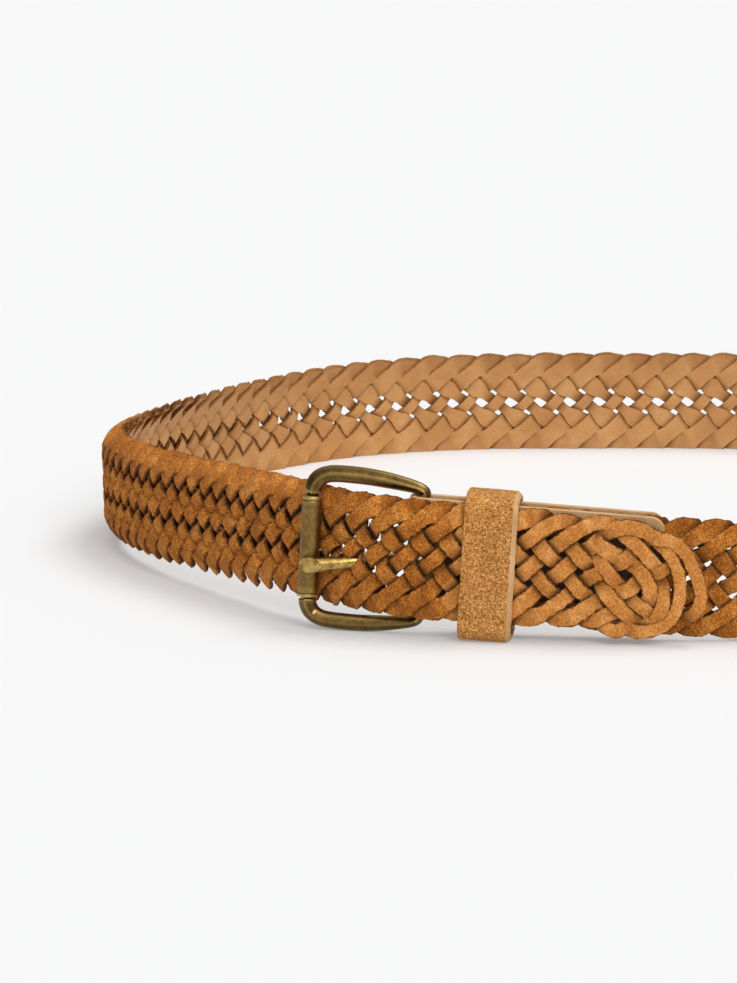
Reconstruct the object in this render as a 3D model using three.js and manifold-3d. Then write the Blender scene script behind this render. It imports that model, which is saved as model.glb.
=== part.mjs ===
// A braided leather belt, fastened into a loop and standing on its edge.
// Millimetres, Z up. The buckle side faces -Y, the far side of the loop +Y.
import * as THREE from 'three';
import { mergeVertices } from 'three/addons/utils/BufferGeometryUtils.js';
import Module from 'manifold-3d';

// The loop as it stands on the surface
const LOOP_LENGTH = 330;
const LOOP_DEPTH = 300;
const LIFT_MOST = 8;
const LEAN_MOST_DEG = 12;

// The woven strap
const STRAP_WIDTH = 32;
const STRAP_THICKNESS = 4.2;
const BRAID_PITCH = 9;
const EDGE_SCALLOP = 0.8;
const TIP_WIDTH = 36.4;
const TIP_REACH = 80;
const TIP_BULGE_LENGTH = 52;
const TIP_ROUND_LENGTH = 15;

// The folded leather tab that holds the buckle
const TAB_THICKNESS = 1.5;
const TAB_LENGTH = 62;
const TAB_CORNER = 4;
const HEEL_SETBACK = 6;

// The keeper loop
const KEEPER_WIDTH = 15;
const KEEPER_WALL = 1.8;
const KEEPER_SLACK = 6.8;
const KEEPER_AT = 13;
const KEEPER_CORNER = 2.6;

// The buckle
const FRAME_SPAN = 32;
const FRAME_BAR = 5;
const FRAME_CLEARANCE = 2.8;
const ROLLER_DIAMETER = 5.8;
const ROLLER_BORE = 3.9;
const ROLLER_LENGTH = 29;
const PRONG_DIAMETER = 3.6;
const PRONG_EYE_DROP = 0.6;
const PRONG_TIP_DROP = 5;
const PRONG_OVERRUN = 2.8;
const PRONG_SLANT = 6.4;
const EYE_WALL = 1.5;
const EYE_HEIGHT = 3.2;

// The room left between neighbouring pieces
const GAP = 0.3;

const UP = new THREE.Vector3(0, 0, 1);
const LAYER_STEP = STRAP_THICKNESS + TAB_THICKNESS + 2 * GAP;
const LEAF_OFFSET = STRAP_THICKNESS / 2 + GAP + TAB_THICKNESS / 2;

// The strap's line seen from above, from its start at the buckle round the loop
// and back to the buckle. x is a share of the loop's length, y of its depth,
// lift of the most lift off the surface and lean of the most lean.
const LOOP_LINE = [
  { x: -0.195, y: -0.475, lift: 0.8, lean: 0 },
  { x: -0.09, y: -0.49, lift: 0.55, lean: 0 },
  { x: 0.03, y: -0.5, lift: 0.25, lean: 0 },
  { x: 0.17, y: -0.485, lift: 0.05, lean: 0 },
  { x: 0.31, y: -0.42, lift: 0, lean: 0 },
  { x: 0.42, y: -0.3, lift: 0, lean: 0 },
  { x: 0.48, y: -0.12, lift: 0, lean: 0 },
  { x: 0.475, y: 0.1, lift: 0, lean: 0 },
  { x: 0.4, y: 0.29, lift: 0, lean: 0 },
  { x: 0.28, y: 0.4, lift: 0, lean: 0 },
  { x: 0.13, y: 0.45, lift: 0, lean: 0 },
  { x: -0.03, y: 0.455, lift: 0, lean: 0 },
  { x: -0.16, y: 0.445, lift: 0, lean: -0.1 },
  { x: -0.27, y: 0.4, lift: 0.03, lean: -0.4 },
  { x: -0.36, y: 0.31, lift: 0.1, lean: -0.8 },
  { x: -0.43, y: 0.19, lift: 0.22, lean: -0.9 },
  { x: -0.48, y: 0.06, lift: 0.35, lean: -0.5 },
  { x: -0.5, y: -0.07, lift: 0.5, lean: 0.1 },
  { x: -0.465, y: -0.19, lift: 0.65, lean: 0.2 },
  { x: -0.4, y: -0.3, lift: 0.85, lean: 0.1 },
  { x: -0.335, y: -0.395, lift: 1, lean: 0 },
  { x: -0.275, y: -0.46, lift: 1, lean: 0 },
];

// The tip end lies over the strap's start. along is a share of the tip's reach
// from the buckle's heel bar, step of the distance between the two layers and
// lift of the most lift.
const TIP_LINE = [
  { along: -0.1, step: 0.88, lift: 0.96 },
  { along: 0, step: 1, lift: 0.91 },
  { along: 0.17, step: 1, lift: 0.83 },
  { along: 0.34, step: 1, lift: 0.74 },
  { along: 0.5, step: 1, lift: 0.65 },
  { along: 0.67, step: 1, lift: 0.56 },
  { along: 0.84, step: 1, lift: 0.49 },
  { along: 1, step: 1, lift: 0.44 },
];

// Half of the buckle frame, from the middle of the roller bar to the middle of
// the heel bar. along is a share of the span, across of the arms' half height,
// wide and thick of the bar.
const FRAME_LINE = [
  { along: 0, across: 0.735, wide: 0.62, thick: 0.62 },
  { along: 0, across: 0.750, wide: 1.04, thick: 1.04 },
  { along: 0.012, across: 0.830, wide: 1.06, thick: 1.0 },
  { along: 0.050, across: 0.915, wide: 1.04, thick: 0.96 },
  { along: 0.120, across: 0.975, wide: 1.0, thick: 0.9 },
  { along: 0.230, across: 1, wide: 1.0, thick: 0.86 },
  { along: 0.450, across: 1, wide: 1.0, thick: 0.84 },
  { along: 0.660, across: 0.975, wide: 0.95, thick: 0.82 },
  { along: 0.820, across: 0.935, wide: 0.82, thick: 0.8 },
  { along: 0.935, across: 0.888, wide: 0.70, thick: 0.78 },
  { along: 0.985, across: 0.830, wide: 0.68, thick: 0.76 },
  { along: 1, across: 0.750, wide: 0.74, thick: 0.74 },
];

// How far each third of a braid pitch swells out at the edge
const SCALLOP = [0, 1, 0.6];

// Corners of half the strap's section: up is the share of the half width left
// after the round edge, out the share of the half thickness.
const STRAP_SECTION = [
  { up: 1, edge: 0, out: 0 },
  { up: 1, edge: 1, out: 0.82 },
  { up: 0.55, edge: 0, out: 1 },
  { up: -0.55, edge: 0, out: 1 },
  { up: -1, edge: -1, out: 0.82 },
];
const STRAP_EDGE_ROUND = 1.1;

// The rounded corners at the tab's two ends. back is a share of the corner's
// length, tall of the strap's width.
const TAB_CORNER_LINE = [
  { back: 1, tall: 1 },
  { back: 0.55, tall: 0.97 },
  { back: 0.2, tall: 0.88 },
  { back: 0, tall: 0.78 },
];

// How finely the round and curved shapes are faceted
const TAB_STOPS = 12;
const FOLD_TURNS = 8;
const BAR_SIDES = 12;
const SHANK_SIDES = 16;
const TUBE_SIDES = 20;
const CORNER_SEGMENTS = 5;
const LINE_DIVISIONS = 2400;

// The search for the frame's swing: places tried along the strap, halvings and
// the widest swing
const SWING_PLACES = 120;
const SWING_HALVINGS = 24;
const SWING_MOST = Math.PI / 4;

const wasm = await Module();
wasm.setup();

function faces(points, indices) {
  const geometry = new THREE.BufferGeometry();
  geometry.setAttribute('position', new THREE.Float32BufferAttribute(points, 3));
  geometry.setIndex(indices);
  return geometry;
}

// Skins a list of rings, each with as many corners, and closes it either with
// two flat ends or back onto its first ring.
function loft(rings, closed = false) {
  const size = rings[0].length;
  const points = rings.flat().flatMap((p) => [p.x, p.y, p.z]);
  const indices = [];
  const spans = closed ? rings.length : rings.length - 1;
  for (let r = 0; r < spans; r += 1) {
    const next = (r + 1) % rings.length;
    for (let k = 0; k < size; k += 1) {
      const a = r * size + k;
      const b = r * size + ((k + 1) % size);
      const c = next * size + k;
      const d = next * size + ((k + 1) % size);
      indices.push(a, b, d, a, d, c);
    }
  }
  if (!closed) {
    const last = (rings.length - 1) * size;
    for (let k = 1; k < size - 1; k += 1) {
      indices.push(0, k + 1, k, last, last + k, last + k + 1);
    }
  }
  return faces(points, indices);
}

function solid(geometry) {
  const bare = mergeVertices(geometry);
  return new wasm.Manifold(new wasm.Mesh({
    numProp: 3,
    vertProperties: new Float32Array(bare.attributes.position.array),
    triVerts: new Uint32Array(bare.index.array),
  }));
}

function shell(manifold) {
  const mesh = manifold.getMesh();
  return faces(Array.from(mesh.vertProperties), Array.from(mesh.triVerts));
}

// A point given by its place along three directions from an origin
function place(origin, ...moves) {
  const point = origin.clone();
  for (const [direction, amount] of moves) point.addScaledVector(direction, amount);
  return point;
}

function ring(origin, first, second, halfFirst, halfSecond, corners) {
  return Array.from({ length: corners }, (_, k) => {
    const angle = (2 * Math.PI * k) / corners;
    return place(origin, [first, halfFirst * Math.cos(angle)], [second, halfSecond * Math.sin(angle)]);
  });
}

// A smooth line through rows of points, with a lean that follows the rows
class Line {
  constructor(rows) {
    this.leans = rows.map((row) => row.lean);
    this.curve = new THREE.CatmullRomCurve3(rows.map((row) => row.point));
    this.curve.arcLengthDivisions = LINE_DIVISIONS;
    this.length = this.curve.getLength();
  }

  // The middle point at a length along the line, with the directions along the
  // strap, up its width and outward through its thickness
  at(distance) {
    const share = THREE.MathUtils.clamp(distance / this.length, 0, 1);
    const t = this.curve.getUtoTmapping(share);
    const along = this.curve.getTangent(t);
    const up = UP.clone().addScaledVector(along, -along.dot(UP)).normalize();
    const out = along.clone().cross(up);
    const knot = t * (this.leans.length - 1);
    const low = Math.min(Math.floor(knot), this.leans.length - 2);
    const lean = THREE.MathUtils.lerp(this.leans[low], this.leans[low + 1], knot - low);
    const point = place(this.curve.getPoint(t), [along, distance - share * this.length]);
    return {
      point,
      along,
      up: place(new THREE.Vector3(), [up, Math.cos(lean)], [out, Math.sin(lean)]),
      out: place(new THREE.Vector3(), [out, Math.cos(lean)], [up, -Math.sin(lean)]),
    };
  }
}

const loopRows = LOOP_LINE.map((row) => ({
  point: new THREE.Vector3(
    row.x * LOOP_LENGTH,
    row.y * LOOP_DEPTH,
    row.lift * LIFT_MOST + STRAP_WIDTH / 2,
  ),
  lean: THREE.MathUtils.degToRad(row.lean * LEAN_MOST_DEG),
}));
const loopLine = new Line(loopRows);

const tipRows = TIP_LINE.map((row) => {
  const under = loopLine.at(row.along * TIP_REACH - HEEL_SETBACK);
  const point = place(under.point, [under.out, row.step * LAYER_STEP]);
  point.z = row.lift * LIFT_MOST + STRAP_WIDTH / 2;
  return { point, lean: 0 };
});
const strapLine = new Line([...loopRows, ...tipRows]);

const start = strapLine.at(0);
const heel = place(start.point, [start.along, -HEEL_SETBACK]);

// The woven strap, its edges swelling with every turn of the braid
function braidedStrap() {
  const pitches = Math.round(strapLine.length / BRAID_PITCH);
  const stations = pitches * SCALLOP.length;
  const half = STRAP_THICKNESS / 2;
  const rings = [];
  for (let k = 0; k <= stations; k += 1) {
    const distance = (strapLine.length * k) / stations;
    const left = strapLine.length - distance;
    const swell = THREE.MathUtils.smoothstep(TIP_BULGE_LENGTH - left, 0, TIP_BULGE_LENGTH / 2);
    const width = THREE.MathUtils.lerp(STRAP_WIDTH, TIP_WIDTH, swell) / 2;
    const turned = 1 - Math.min((left + GAP) / TIP_ROUND_LENGTH, 1);
    const round = Math.sqrt(1 - turned * turned);
    const top = width - EDGE_SCALLOP * (1 - SCALLOP[k % SCALLOP.length]);
    const bottom = width - EDGE_SCALLOP * (1 - SCALLOP[(k + 1) % SCALLOP.length]);
    const { point, up, out } = strapLine.at(distance);
    const height = (row) => {
      const reach = row.up > 0 ? top : bottom;
      return (row.up * reach - row.edge * STRAP_EDGE_ROUND) * round;
    };
    const front = STRAP_SECTION.map((row) => place(point, [up, height(row)], [out, row.out * half]));
    const low = place(point, [up, -bottom * round]);
    const back = STRAP_SECTION.slice(1).reverse()
      .map((row) => place(point, [up, height(row)], [out, -row.out * half]));
    rings.push([...front, low, ...back]);
  }
  return loft(rings);
}

// The tab runs along the inner face, round the heel bar and back along the outer
function buckleTab() {
  const straight = TAB_LENGTH - TAB_CORNER;
  const stops = Array.from({ length: TAB_STOPS }, (_, k) => (k / TAB_STOPS) * straight);
  const leaf = [
    ...stops.map((distance) => ({ distance, tall: 1 })),
    ...TAB_CORNER_LINE.map(({ back, tall }) => ({ distance: TAB_LENGTH - back * TAB_CORNER, tall })),
  ];
  const side = (sign) => leaf.map(({ distance, tall }) => {
    const { point, up, out } = strapLine.at(distance);
    return {
      point: place(point, [out, sign * LEAF_OFFSET]),
      up,
      out: out.clone().multiplyScalar(sign),
      tall,
    };
  });
  const fold = Array.from({ length: FOLD_TURNS + 1 }, (_, k) => {
    const angle = -Math.PI / 2 + (Math.PI * k) / FOLD_TURNS;
    const out = place(new THREE.Vector3(), [start.along, -Math.cos(angle)], [start.out, Math.sin(angle)]);
    return { point: place(heel, [out, LEAF_OFFSET]), up: start.up, out, tall: 1 };
  });
  const path = [...side(-1).reverse(), ...fold, ...side(1)];
  const rings = path.map(({ point, up, out, tall }) => {
    const high = (tall * STRAP_WIDTH) / 2;
    const thick = TAB_THICKNESS / 2;
    return [[high, -thick], [high, thick], [-high, thick], [-high, -thick]]
      .map(([rise, depth]) => place(point, [up, rise], [out, depth]));
  });
  const slotReach = eyeRadius() + 2 * GAP;
  const shankFall = ((PRONG_TIP_DROP - PRONG_EYE_DROP) * 2 * slotReach) / FRAME_SPAN;
  const slotTall = EYE_HEIGHT + 4 * GAP + 2 * shankFall;
  const slot = loft([-2 * slotReach, slotReach].map((reach) => {
    const centre = place(heel, [start.along, reach], [start.up, -PRONG_EYE_DROP]);
    return [[1, -1], [1, 1], [-1, 1], [-1, -1]].map(([rise, depth]) => place(
      centre,
      [start.up, (rise * slotTall) / 2],
      [start.out, depth * 2 * LEAF_OFFSET],
    ));
  }));
  return shell(solid(loft(rings)).subtract(solid(slot)));
}

// The keeper stands upright with its lower edge flat on the surface
function keeperLoop() {
  const { point, out } = strapLine.at(KEEPER_AT);
  const outward = out.clone().setZ(0).normalize();
  const inner = -(LEAF_OFFSET + TAB_THICKNESS / 2 + GAP);
  const outer = LAYER_STEP + STRAP_THICKNESS / 2 + GAP;
  const depth = outer - inner + 2 * KEEPER_WALL;
  const tall = STRAP_WIDTH + KEEPER_SLACK + 2 * KEEPER_WALL;
  const centre = place(point, [outward, (outer + inner) / 2]).setZ(tall / 2);
  const outline = (path, halfDepth, halfTall, radius) => {
    path.moveTo(halfDepth, halfTall - radius);
    path.absarc(halfDepth - radius, halfTall - radius, radius, 0, Math.PI / 2);
    path.absarc(-halfDepth + radius, halfTall - radius, radius, Math.PI / 2, Math.PI);
    path.absarc(-halfDepth + radius, -halfTall + radius, radius, Math.PI, 1.5 * Math.PI);
    path.absarc(halfDepth - radius, -halfTall + radius, radius, 1.5 * Math.PI, 2 * Math.PI);
    return path;
  };
  const shape = outline(new THREE.Shape(), depth / 2, tall / 2, KEEPER_CORNER);
  const hollow = KEEPER_CORNER - KEEPER_WALL;
  shape.holes.push(outline(new THREE.Path(), depth / 2 - KEEPER_WALL, tall / 2 - KEEPER_WALL, hollow));
  const geometry = new THREE.ExtrudeGeometry(shape, {
    depth: KEEPER_WIDTH, bevelEnabled: false, curveSegments: CORNER_SEGMENTS,
  });
  geometry.deleteAttribute('normal');
  geometry.deleteAttribute('uv');
  geometry.translate(0, 0, -KEEPER_WIDTH / 2);
  const turn = new THREE.Matrix4().makeBasis(outward, UP, outward.clone().cross(UP));
  geometry.applyMatrix4(turn);
  geometry.translate(centre.x, centre.y, centre.z);
  return mergeVertices(geometry);
}

// The frame swings outward about its heel bar until the roller clears the strap
function frameAxes() {
  const clearance = STRAP_THICKNESS / 2 + ROLLER_DIAMETER / 2 + GAP;
  const nearby = Array.from({ length: SWING_PLACES }, (_, k) => strapLine.at(
    strapLine.length - TIP_REACH - (k / SWING_PLACES) * 2 * FRAME_SPAN,
  ));
  const roller = (angle) => place(
    heel,
    [start.along, -FRAME_SPAN * Math.cos(angle)],
    [start.out, FRAME_SPAN * Math.sin(angle)],
  );
  const room = (angle) => {
    const centre = roller(angle);
    const flat = nearby.map(({ point, out }) => {
      const away = centre.clone().sub(point).setZ(0);
      return { far: away.length(), side: away.dot(out) };
    });
    const nearest = flat.reduce((best, each) => (each.far < best.far ? each : best));
    return Math.sign(nearest.side) * nearest.far;
  };
  let low = -SWING_MOST;
  let high = SWING_MOST;
  for (let step = 0; step < SWING_HALVINGS; step += 1) {
    const middle = (low + high) / 2;
    if (room(middle) < clearance) low = middle;
    else high = middle;
  }
  const origin = roller(high);
  const along = heel.clone().sub(origin).normalize();
  const up = start.up.clone();
  return { origin, along, up, out: along.clone().cross(up) };
}
const frame = frameAxes();

function buckleFrame() {
  const reach = STRAP_WIDTH / 2 + FRAME_CLEARANCE + FRAME_BAR / 2;
  const half = (sign) => FRAME_LINE.map((row) => ({ ...row, across: sign * row.across }));
  const path = [...half(1), ...half(-1).reverse()];
  const flat = path.map((row) => [row.along * FRAME_SPAN, row.across * reach]);
  const rings = path.map((row, k) => {
    const [ahead, behind] = [flat[(k + 1) % flat.length], flat[(k + flat.length - 1) % flat.length]];
    const run = Math.hypot(ahead[0] - behind[0], ahead[1] - behind[1]);
    const side = place(
      new THREE.Vector3(),
      [frame.along, (behind[1] - ahead[1]) / run],
      [frame.up, (ahead[0] - behind[0]) / run],
    );
    const centre = place(frame.origin, [frame.along, flat[k][0]], [frame.up, flat[k][1]]);
    return ring(centre, side, frame.out, (row.wide * FRAME_BAR) / 2, (row.thick * FRAME_BAR) / 2, BAR_SIDES);
  });
  return loft(rings, true);
}

function buckleRoller() {
  const tube = [
    [ROLLER_BORE, 1], [ROLLER_DIAMETER, 1], [ROLLER_DIAMETER, -1], [ROLLER_BORE, -1],
  ];
  const rings = tube.map(([diameter, end]) => ring(
    place(frame.origin, [frame.up, (end * ROLLER_LENGTH) / 2]),
    frame.along,
    frame.out,
    diameter / 2,
    diameter / 2,
    TUBE_SIDES,
  ));
  return loft(rings, true);
}

function heelRadius() {
  return (FRAME_LINE.at(-1).wide * FRAME_BAR) / 2;
}

function eyeRadius() {
  return heelRadius() + GAP + EYE_WALL;
}

// The prong's middle line leaves the heel bar near its middle, slants down and
// passes just over the roller
function prongLine() {
  const rise = ROLLER_DIAMETER / 2 + GAP + PRONG_DIAMETER / 2;
  const fall = PRONG_TIP_DROP - PRONG_EYE_DROP;
  const origin = place(heel, [start.up, -PRONG_EYE_DROP]);
  const along = place(
    new THREE.Vector3(),
    [frame.along, -FRAME_SPAN],
    [frame.out, rise],
    [frame.up, -fall],
  ).normalize();
  const up = place(frame.up, [along, -frame.up.dot(along)]).normalize();
  return { origin, along, up, out: up.clone().cross(along) };
}

// A round bar on the prong's line, its far end cut at a slant
function shank(from, to, radius, slant) {
  const line = prongLine();
  return loft([[from, 0], [to, slant]].map(([reach, cut]) => ring(
    place(line.origin, [line.along, reach]),
    line.out,
    line.up,
    radius,
    radius,
    SHANK_SIDES,
  ).map((point) => {
    const height = point.clone().sub(line.origin).dot(line.out);
    return place(point, [line.along, -cut * (height / radius + 1) * 0.5]);
  })));
}

function buckleProng() {
  const line = prongLine();
  const wall = [heelRadius() + GAP, eyeRadius()];
  const bands = [[0, 1], [1, 1], [1, -1], [0, -1]];
  const eye = loft(bands.map(([which, end]) => ring(
    place(line.origin, [frame.up, (end * EYE_HEIGHT) / 2]),
    frame.along,
    frame.out,
    wall[which],
    wall[which],
    TUBE_SIDES,
  )), true);
  const bar = shank(wall[0] + EYE_WALL / 2, FRAME_SPAN + PRONG_OVERRUN, PRONG_DIAMETER / 2, PRONG_SLANT);
  return solid(eye).add(solid(bar));
}

function named(name, geometry, color, metalness, roughness) {
  const flat = geometry.toNonIndexed();
  flat.computeVertexNormals();
  const mesh = new THREE.Mesh(flat, new THREE.MeshStandardMaterial({ color, metalness, roughness }));
  mesh.name = name;
  return mesh;
}

const room = shank(eyeRadius() - EYE_WALL, FRAME_SPAN, PRONG_DIAMETER / 2 + 2 * GAP, 0);
const group = new THREE.Group();
group.name = 'braided_belt';
group.add(
  named('braided_strap', shell(solid(braidedStrap()).subtract(solid(room))), 0xa9713c, 0, 0.85),
  named('buckle_tab', buckleTab(), 0xc49a6a, 0, 0.6),
  named('keeper_loop', keeperLoop(), 0xb07a42, 0, 0.85),
  named('buckle_frame', buckleFrame(), 0x7a6338, 1, 0.35),
  named('buckle_roller', buckleRoller(), 0x7a6338, 1, 0.35),
  named('buckle_prong', shell(buckleProng()), 0xa3854a, 1, 0.35),
);

// The origin goes to the middle of the underside
const box = new THREE.Box3().setFromObject(group);
const middle = box.getCenter(new THREE.Vector3());
for (const mesh of group.children) mesh.geometry.translate(-middle.x, -middle.y, -box.min.z);

export default group;
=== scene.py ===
# A braided suede belt, fastened into a loop and standing on its edge.
import math

import bpy
import numpy as np
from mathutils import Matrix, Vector


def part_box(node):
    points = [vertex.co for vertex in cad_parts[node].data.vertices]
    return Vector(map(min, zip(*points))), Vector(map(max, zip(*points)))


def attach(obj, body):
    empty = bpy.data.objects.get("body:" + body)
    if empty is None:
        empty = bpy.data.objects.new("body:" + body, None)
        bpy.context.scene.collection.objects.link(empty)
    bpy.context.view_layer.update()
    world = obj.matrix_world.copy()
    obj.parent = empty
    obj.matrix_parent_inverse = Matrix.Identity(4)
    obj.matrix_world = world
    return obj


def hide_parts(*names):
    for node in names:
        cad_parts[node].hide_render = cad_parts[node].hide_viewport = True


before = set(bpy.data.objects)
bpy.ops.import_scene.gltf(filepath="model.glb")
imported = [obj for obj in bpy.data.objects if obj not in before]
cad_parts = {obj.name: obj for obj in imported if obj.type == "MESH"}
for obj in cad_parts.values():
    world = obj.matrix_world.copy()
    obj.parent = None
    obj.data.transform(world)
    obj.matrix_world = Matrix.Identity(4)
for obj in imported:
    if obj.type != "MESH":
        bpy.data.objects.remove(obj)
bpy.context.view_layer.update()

MM = 0.001
rng = np.random.default_rng(7)

# The loop as it stands, with the same named sizes as the part, in millimetres
LOOP_LENGTH, LOOP_DEPTH, LIFT_MOST, LEAN_MOST = 330.0, 300.0, 8.0, math.radians(12)
STRAP_WIDTH, STRAP_THICKNESS, TIP_REACH = 32.0, 4.2, 80.0
TAB_THICKNESS, TAB_LENGTH, TAB_CORNER, HEEL_SETBACK = 1.5, 62.0, 4.0, 6.0
KEEPER_WIDTH, KEEPER_WALL, KEEPER_SLACK, KEEPER_AT = 15.0, 1.8, 6.8, 13.0
FRAME_SPAN, FRAME_BAR, FRAME_CLEARANCE = 32.0, 5.0, 2.8
ROLLER_DIAMETER, ROLLER_BORE, ROLLER_LENGTH = 5.8, 3.9, 29.0
PRONG_DIAMETER, PRONG_EYE_DROP, PRONG_TIP_DROP = 3.6, 0.6, 5.0
PRONG_OVERRUN, PRONG_SLANT = 2.8, 6.4
EYE_WALL, EYE_HEIGHT, GAP = 1.5, 3.2, 0.3
LAYER_STEP = STRAP_THICKNESS + TAB_THICKNESS + 2 * GAP
LEAF_OFFSET = STRAP_THICKNESS / 2 + GAP + TAB_THICKNESS / 2

# x and y as shares of the loop's length and depth, lift and lean of their most
LOOP_LINE = [
    (-0.195, -0.475, 0.8, 0), (-0.09, -0.49, 0.55, 0), (0.03, -0.5, 0.25, 0), (0.17, -0.485, 0.05, 0),
    (0.31, -0.42, 0, 0), (0.42, -0.3, 0, 0), (0.48, -0.12, 0, 0), (0.475, 0.1, 0, 0),
    (0.4, 0.29, 0, 0), (0.28, 0.4, 0, 0), (0.13, 0.45, 0, 0), (-0.03, 0.455, 0, 0),
    (-0.16, 0.445, 0, -0.1), (-0.27, 0.4, 0.03, -0.4), (-0.36, 0.31, 0.1, -0.8), (-0.43, 0.19, 0.22, -0.9),
    (-0.48, 0.06, 0.35, -0.5), (-0.5, -0.07, 0.5, 0.1), (-0.465, -0.19, 0.65, 0.2), (-0.4, -0.3, 0.85, 0.1),
    (-0.335, -0.395, 1, 0), (-0.275, -0.46, 1, 0),
]
# along as a share of the tip's reach, step of the layers' distance, lift of the most
TIP_LINE = [
    (-0.1, 0.88, 0.96), (0, 1, 0.91), (0.17, 1, 0.83), (0.34, 1, 0.74),
    (0.5, 1, 0.65), (0.67, 1, 0.56), (0.84, 1, 0.49), (1, 1, 0.44),
]
# Half of the buckle frame: along as a share of the span, across of the arms' half
# height, wide and thick of the bar
FRAME_LINE = [
    (0, 0.7, 0.62, 0.62), (0, 0.712, 1.04, 1.04), (0.012, 0.82, 1.06, 1.0), (0.05, 0.915, 1.04, 0.96),
    (0.12, 0.975, 1.0, 0.9), (0.23, 1, 1.0, 0.86), (0.45, 1, 1.0, 0.84), (0.66, 0.975, 0.95, 0.82),
    (0.84, 0.938, 0.82, 0.8), (0.955, 0.905, 0.7, 0.78), (1.008, 0.86, 0.66, 0.76), (1.015, 0.8, 0.7, 0.75),
    (1, 0.72, 0.74, 0.74),
]
# The braid's pitch at lengths back from the tip's end
PITCH_LINE = [
    (0, 9.2), (50, 9.2), (60, 9.6), (72, 8.4), (108, 8.3), (125, 7.3), (145, 6.9), (230, 6.9),
    (300, 8.4), (370, 9.8), (430, 10.2), (560, 10.2), (660, 9.4), (1100, 9.0),
]
# Lengths back from the tip's end, how tightly the strap's edges curl inward (a turn
# per millimetre past the flat middle), the strips' lift over one another, their width
# in the middle rows and in the outer rows, and how far the rows spread
RUN_LINE = [
    (0, 0.0, 1.15, 3.6, 3.6, 0), (8, 0.0, 1.15, 3.7, 3.7, 0), (15, 0.0, 1.2, 4.2, 4.3, 0),
    (45, 0.01, 1.25, 4.4, 4.5, 0), (60, 0.045, 1.35, 4.2, 4.6, 0), (110, 0.06, 1.45, 4.1, 4.7, 0.2),
    (135, 0.1, 1.6, 4.5, 4.5, 1), (240, 0.12, 1.5, 4.6, 4.5, 1), (320, 0.07, 1.1, 4.6, 5.6, 0.4),
    (400, 0.05, 0.85, 3.7, 6.5, 0), (620, 0.05, 0.85, 3.7, 6.5, 0), (740, 0.06, 1.1, 4.4, 5.0, 0.3),
    (900, 0.06, 1.2, 4.4, 4.8, 0.2), (980, 0.02, 1.1, 4.4, 4.8, 0), (1060, 0, 1.0, 4.4, 4.8, 0),
]
CURL, LIFT, MIDDLE_WIDE, OUTER_WIDE, SPREAD = range(1, 6)
CURL_FROM = 8.5
# The far side, back from the tip's end: its middle and its half length
FAR_MIDDLE, FAR_HALF = 520, 200


class Line:
    """A smooth open line through rows of (x, y, z, lean), measured along its length."""

    def __init__(self, rows, steps=160):
        rows = np.array(rows, float)
        points, leans = rows[:, :3], rows[:, 3]
        ends = np.vstack([2 * points[0] - points[1], points, 2 * points[-1] - points[-2]])
        gap = np.sqrt(np.linalg.norm(np.diff(ends, axis=0), axis=1))
        found, lean = [], []
        for i in range(len(points) - 1):
            p0, p1, p2, p3 = ends[i:i + 4]
            d0, d1, d2 = gap[i:i + 3]
            t1 = ((p1 - p0) / d0 - (p2 - p0) / (d0 + d1) + (p2 - p1) / d1) * d1
            t2 = ((p2 - p1) / d1 - (p3 - p1) / (d1 + d2) + (p3 - p2) / d2) * d1
            w = np.linspace(0, 1, steps, endpoint=i == len(points) - 2)[:, None]
            found.append((2 * w**3 - 3 * w**2 + 1) * p1 + (w**3 - 2 * w**2 + w) * t1
                         + (3 * w**2 - 2 * w**3) * p2 + (w**3 - w**2) * t2)
            lean.append(leans[i] + (leans[i + 1] - leans[i]) * w[:, 0])
        self.points = np.vstack(found)
        lean = np.concatenate(lean)
        run = np.linalg.norm(np.diff(self.points, axis=0), axis=1)
        self.lengths = np.concatenate([[0], np.cumsum(run)])
        self.length = self.lengths[-1]
        along = np.gradient(self.points, self.lengths, axis=0)
        along /= np.linalg.norm(along, axis=1)[:, None]
        up = np.array([0, 0, 1.0]) - along * along[:, 2:3]
        up /= np.linalg.norm(up, axis=1)[:, None]
        side = np.cross(along, up)
        c, s = np.cos(lean)[:, None], np.sin(lean)[:, None]
        self.along, self.up, self.out = along, up * c + side * s, side * c - up * s

    def at(self, distance):
        """Points and the along, up and out directions at lengths along the line."""
        distance = np.asarray(distance, float)
        inside = np.clip(distance, 0, self.length)
        got = [np.stack([np.interp(inside, self.lengths, a[:, k]) for k in range(3)], -1)
               for a in (self.points, self.along, self.up, self.out)]
        got[0] = got[0] + got[1] * (distance - inside)[..., None]
        for k in (1, 2, 3):
            got[k] = got[k] / np.linalg.norm(got[k], axis=-1, keepdims=True)
        return got


loop_rows = [(x * LOOP_LENGTH, y * LOOP_DEPTH, lift * LIFT_MOST + STRAP_WIDTH / 2, lean * LEAN_MOST)
             for x, y, lift, lean in LOOP_LINE]
loop_line = Line(loop_rows)
tip_rows = []
for reach, step, lift in TIP_LINE:
    under, _, _, away = loop_line.at(reach * TIP_REACH - HEEL_SETBACK)
    over = under + away * step * LAYER_STEP
    tip_rows.append((over[0], over[1], lift * LIFT_MOST + STRAP_WIDTH / 2, 0.0))
strap_line = Line(loop_rows + tip_rows)
END = strap_line.length
start, start_along, start_up, start_out = strap_line.at(0)
heel = start - start_along * HEEL_SETBACK

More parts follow.
